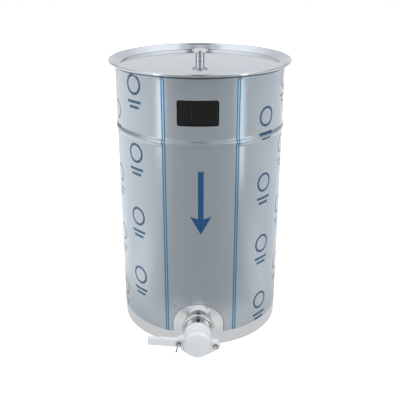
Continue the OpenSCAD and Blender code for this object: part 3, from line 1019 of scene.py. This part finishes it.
boltSteel = plainStuff("bright bolt steel", tone(226, 226, 223), rough=0.25, grain=260.0,
                       bumpStrength=0.1, metal=0.5)
# the nuts take a darker copy of the bolt steel: painted shade and dark reflections
shadedNutSteel = plainStuff("polished nut steel, darkened as painted shade", tone(150, 150, 148), rough=0.15, grain=260.0,
                      bumpStrength=0.1, metal=1.0)
for side, x in (("pivot", gateSpec["pivot"]), ("clamp", -gateSpec["clamp"])):
    bolt = makeBolt(side + "Bolt", x, boltSpec[side + "End"])
    finish(rolled(bolt), "tank", "bolt_steel", boltSteel, side + "_bolt", angle=25)
for side, x, body in (("pivot", gateSpec["pivot"], "tank"), ("clamp", -gateSpec["clamp"], "clamp")):
    finish(rolled(makeWasher(side + "Washer", x)), body, "bolt_steel", boltSteel, side + "_washer")
finish(rolled(makeLockNut()), "tank", "bolt_steel", shadedNutSteel, "pivot_nut", angle=25)
finish(rolled(makeWingNut()), "wing", "bolt_steel", shadedNutSteel, "wing_nut")
print("bolts done")


# Lid and knob

lidSpec = {
    "discRadius": 146, "z": 491.97, "crown": 3.6, "seat": 9.1, "hole": 3.1, "sheet": 0.8,
    "bend": 3, "slope": 40, "curl": 14, "lip": 20, "edge": 161.8, "hem": 1.9, "drop": 1.2,
}
knobSpec = {
    "capRadius": 14.5, "capThick": 5, "dome": 0.7, "domeRadii": (10, 7, 4, 2, 0),
    "stemRadius": 8, "stemHeight": 15, "neck": 1.2, "footChamfer": 0.4,
}


def makeLid():
    s = lidSpec
    slope, lip = radians(s["slope"]), radians(s["lip"])
    bendX = s["discRadius"] - s["bend"] * tan(slope / 2)
    # the flare curls over towards its turned-down hem
    curl, hem = s["curl"], s["hem"]
    hemX = s["edge"] - hem
    across = hemX - s["discRadius"] - curl * sin(slope) + (curl - hem) * sin(lip)
    length = across / cos(slope)
    curlX = s["discRadius"] + length * cos(slope) + curl * sin(slope)
    curlZ = s["z"] + length * sin(slope) - curl * cos(slope)
    hemZ = curlZ + (curl - hem) * cos(lip)
    inner = degrees(asin((curlX - hemX + hem) / (curl - s["sheet"])))
    # the crown runs smoothly from the knob's seat into the bend
    run = bendX - s["seat"]
    turned = 2 * degrees(atan(s["crown"] / run))
    crownRadius = run / sin(radians(turned)) - s["bend"]
    top = s["z"] + s["crown"]
    outline = [(s["hole"], top - s["sheet"])]
    outline += arcPoints(s["seat"], top - crownRadius, crownRadius - s["sheet"], 90, 90 - turned, 24)[:-1]
    outline += arcPoints(bendX, s["z"] + s["bend"], s["bend"] + s["sheet"], -90 - turned, s["slope"] - 90, 8)
    outline += arcPoints(curlX, curlZ, curl - s["sheet"], 90 + s["slope"], 90 + inner, 5)
    outline += arcPoints(hemX, hemZ - s["drop"], hem, 180, 360, 16)
    outline += arcPoints(hemX, hemZ, hem, 0, 90 + s["lip"], 10)[:-1]
    outline += arcPoints(curlX, curlZ, curl, 90 + s["lip"], 90 + s["slope"], 8)
    outline += arcPoints(bendX, s["z"] + s["bend"], s["bend"], s["slope"] - 90, -90 - turned, 8)[:-1]
    outline += arcPoints(s["seat"], top - crownRadius, crownRadius, 90 - turned, 90, 24)
    outline += [(s["hole"], top)]
    return turnUpright("lidPan", outline)


def makeKnob():
    s = knobSpec
    base = lidSpec["z"] + lidSpec["crown"]
    top = base + s["stemHeight"]
    edge = (s["capThick"] - s["dome"]) / 2
    flat = s["capRadius"] - edge
    stem, neck, c = s["stemRadius"], s["neck"], s["footChamfer"]
    outline = [(0, base), (stem - c, base), (stem, base + c), (stem, top - neck)]
    outline += arcPoints(stem + neck, top - neck, neck, 180, 90, 6)[1:]
    outline += arcPoints(flat, top + edge, edge, -90, 90, 16)
    outline += [(r, top + s["capThick"] - s["dome"] * (r / flat) ** 2) for r in s["domeRadii"]]
    return turnUpright("lidKnob", outline, 96)


spunSpec = {"clouds": 12.0, "cloudShade": 0.92, "bump": 0.05, "bumpDepth": 0.02}


# spun sheet: fine rings about the axis
def spunSteel(name, colour, rough, rings):
    s = spunSpec
    material, tree, shader = shaderOf(name)
    x, y, z = separated(tree, coordinate(tree))
    away = newNode(tree, "CombineXYZ", {0: hypotenuse(tree, x, y)})[0]
    ringNoise = noise(tree, away, rings, detail=4.0, rough=0.7)
    clouds = noise(tree, objectPlace(tree), s["clouds"])
    feed(tree, shader, {
        "Base Color": blend(tree, clouds, shaded(colour, s["cloudShade"]), colour),
        "Metallic": 1.0,
        "Roughness": spread(tree, ringNoise, *rough),
        "Normal": bump(tree, ringNoise, s["bump"], s["bumpDepth"]),
    })
    return material


lidSteel = spunSteel("spun lid steel", tone(215, 219, 221), rough=(0.05, 0.12), rings=700.0)
knobSteel = spunSteel("polished knob steel", tone(228, 230, 232), rough=(0.03, 0.08), rings=900.0)
finish(makeLid(), "cover", "lid_steel", lidSteel, "lid")
finish(makeKnob(), "cover", "knob_steel", knobSteel, "lid_knob", angle=40)
dress("knob_washer", boltSteel)
dress("knob_screw", boltSteel)
print("lid done")


# Studio: pale floor, white background, soft lamps from both sides, all in metres

cameraSpec = {
    "distance": 1.1534, "height": 0.6991, "pitch": 22.22, "azimuth": 1.3,
    "lens": 58.0, "sensor": 36, "reach": 50,
}
# each lamp's place, aim, size and power; the last is the light that the bare wall throws back on the gate
lampSpec = (
    ("frontLeft", (-0.8, -1.0, 1.6), (0, 0, 0.25), (0.7, 0.7), 2.4),
    ("frontRight", (0.8, -1.0, 1.6), (0, 0, 0.25), (0.7, 0.7), 2.4),
    ("overhead", (0.0, -0.6, 2.0), (0, 0, 0.25), (1.0, 0.7), 18.5),
    ("behind", (0.0, 1.0, 1.6), (0, 0, 0.25), (1.4, 0.6), 5.0),
    ("wallLight", (0.0, -0.152, 0.055), (0, -1, 0.055), (0.11, 0.065), 0.02),
)


def makeCamera():
    s = cameraSpec
    turnBy = radians(s["azimuth"])
    data = bpy.data.cameras.new("camera")
    data.lens = s["lens"]
    data.sensor_width = s["sensor"]
    data.clip_end = s["reach"]
    camera = bpy.data.objects.new("camera", data)
    scene.collection.objects.link(camera)
    camera.location = (s["distance"] * sin(turnBy), -s["distance"] * cos(turnBy), s["height"])
    camera.rotation_euler = (radians(90 - s["pitch"]), 0, turnBy)
    scene.camera = camera


def makeLamps():
    for name, place, aim, size, power in lampSpec:
        data = bpy.data.lights.new(name, "AREA")
        data.shape = "RECTANGLE"
        data.size, data.size_y = size
        data.energy = power
        lamp = bpy.data.objects.new(name, data)
        scene.collection.objects.link(lamp)
        lamp.location = place
        toward = Vector(aim) - lamp.location
        lamp.rotation_euler = toward.to_track_quat("-Z", "Y").to_euler()
        lamp.visible_glossy = False  # metal mirrors the studio below instead


# what the metal mirrors: dim in front and overhead, pale to the sides and behind
studioSpec = {
    "front": 0.46, "walls": 0.8, "wallRun": (1.0, 0.1), "bankAhead": 0.52, "fill": 0.55,
    "tint": (0.97, 0.99, 1.04),
}
# patches laid over the walls in this order: level, and where each fades in
roomPatches = {
    "lowBank": (1.4, ("z", 0.45, 0.3), ("offBank", 0.3, 0.15)),
    "lowSides": (0.4, ("z", 0.45, 0.3), ("ahead", 0.15, 0.0), ("ahead", -0.9, -0.8)),
    "shoulders": (1.1, ("z", 0.55, 0.8)),
    "ceiling": (0.75, ("z", 0.91, 0.975)),
    "crestBehind": (1.25, ("z", 0.76, 0.86), ("z", 0.985, 0.96), ("ahead", -0.2, -0.5)),
    "darkStrip": (0.28, ("aside", 0.14, 0.1), ("ahead", 0.5, 0.9), ("z", 0.05, 0.12)),
    "darkTop": (0.04, ("aside", 0.25, 0.2), ("ahead", 0.5, 0.9), ("z", 0.5, 0.54), ("z", 0.74, 0.68)),
    "cornerBehind": (0.25, ("aside", 0.13, 0.055), ("ahead", -0.3, -0.6), ("z", 0.3, 0.45),
                     ("z", 0.999, 0.992)),
}


def makeWorld():
    s = studioSpec
    world = bpy.data.worlds.new("studio")
    scene.world = world
    world.use_nodes = True
    tree = world.node_tree
    x, z, away, ahead = bearing(tree, coordinate(tree, "Generated"))
    places = {
        "z": z, "ahead": ahead, "aside": math2(tree, "ABSOLUTE", x),
        "offBank": distance(tree, ahead, s["bankAhead"]),
    }
    mirrored = ranged(tree, ahead, *s["wallRun"], s["front"], s["walls"])
    for level, *fades in roomPatches.values():
        mask = product(tree, *[fade(tree, places[key], start, end) for key, start, end in fades])
        mirrored = over(tree, mirrored, level, mask)
    path = newNode(tree, "LightPath", {})
    seen = math2(tree, "MAXIMUM", path["Is Camera Ray"], path["Is Transmission Ray"])
    lit = over(tree, s["fill"], mirrored, path["Is Glossy Ray"])
    feed(tree, tree.nodes["Background"], {
        "Strength": over(tree, lit, 1.0, seen),
        "Color": blend(tree, seen, s["tint"] + (1,), (1, 1, 1, 1)),
    })


# levels are what the metal mirrors: by bearing far away, and close to the barrel's foot
floorSpec = {
    "size": 9.0, "sink": 0.0004, "colour": (0.8, 0.8, 0.8, 1), "rough": 0.9, "bounce": 0.08,
    "glow": (0.6, 1.0), "glowRun": (0.4, 1.6), "tint": (0.975, 1.0, 1.025),
    "front": 0.38, "side": 0.82, "behind": 1.0, "leftward": 0.2, "leftwardRun": (-0.5, -0.85),
    "near": 0.78, "nearEnd": 0.22, "farStart": 0.31, "foot": 0.69, "footEnd": 0.19,
    "panel": 1.15, "panelAhead": 0.6, "panelRun": (0.04, 0.08), "panelStart": (0.95, 1.3), "panelLean": 0.035,
    "panelReach": 1.2, "panelReachRun": (-0.2, 0.2),
    "beside": 0.18, "besideRun": (0.62, 0.4), "besideAway": (0.8, 0.45), "besideBack": (-0.1, 0.2),
}


def floorMirrored(tree):
    s = floorSpec
    x, z, away, ahead = bearing(tree, coordinate(tree))
    sideways = math2(tree, "DIVIDE", x, away)
    far = ranged(tree, ahead, 1.0, 0.0, s["front"], s["side"], "LINEAR")
    # two pale panels to the front, the right one closer, and paler floor to the sides
    offPanel = distance(tree, math2(tree, "MULTIPLY_ADD", sideways, s["panelLean"], ahead), s["panelAhead"])
    reach = product(tree, away, ranged(tree, sideways, *s["panelReachRun"], 1.0, s["panelReach"]))
    panel = product(tree, ranged(tree, offPanel, *s["panelRun"], s["panel"], 0.0),
                    fade(tree, reach, *s["panelStart"]))
    beside = product(tree, ranged(tree, ahead, *s["besideRun"], 0.0, s["beside"]),
                     fade(tree, away, *s["besideAway"]), fade(tree, ahead, *s["besideBack"]))
    for more in (ranged(tree, ahead, 0.0, -1.0, 0.0, s["behind"] - s["side"], "LINEAR"),
                 ranged(tree, sideways, *s["leftwardRun"], 0.0, s["leftward"]), panel, beside):
        far = math2(tree, "ADD", far, more)
    close = ranged(tree, away, s["footEnd"], s["nearEnd"], s["foot"], s["near"])
    return away, over(tree, far, close, fade(tree, away, s["farStart"], s["nearEnd"]))


def makeFloor():
    s = floorSpec
    clearSelection()
    bpy.ops.mesh.primitive_plane_add(size=s["size"], location=(0, 0, -s["sink"]))
    applyPlace()
    floor = named("studioFloor")
    material, tree, shader = shaderOf("pale studio floor")
    feed(tree, shader, {"Base Color": s["colour"], "Roughness": s["rough"], "Specular IOR Level": 0.0})
    away, mirrored = floorMirrored(tree)

    def glowing(level, colour):
        return newNode(tree, "Emission", {"Strength": level, "Color": colour})[0]

    path = newNode(tree, "LightPath", {})
    seen = product(tree, path["Is Camera Ray"], ranged(tree, away, *s["glowRun"], *s["glow"]))
    seen = math2(tree, "MULTIPLY_ADD", path["Is Diffuse Ray"], s["bounce"], seen)
    total = newNode(tree, "AddShader", {0: shader.outputs[0], 1: glowing(seen, (1, 1, 1, 1))})[0]
    reflected = glowing(mirrored, s["tint"] + (1,))
    swap = newNode(tree, "MixShader", {0: path["Is Glossy Ray"], 1: total, 2: reflected})[0]
    feed(tree, tree.nodes["Material Output"], {"Surface": swap})
    floor.data.materials.append(material)


makeCamera()
makeLamps()
makeWorld()
makeFloor()
print("studio done")
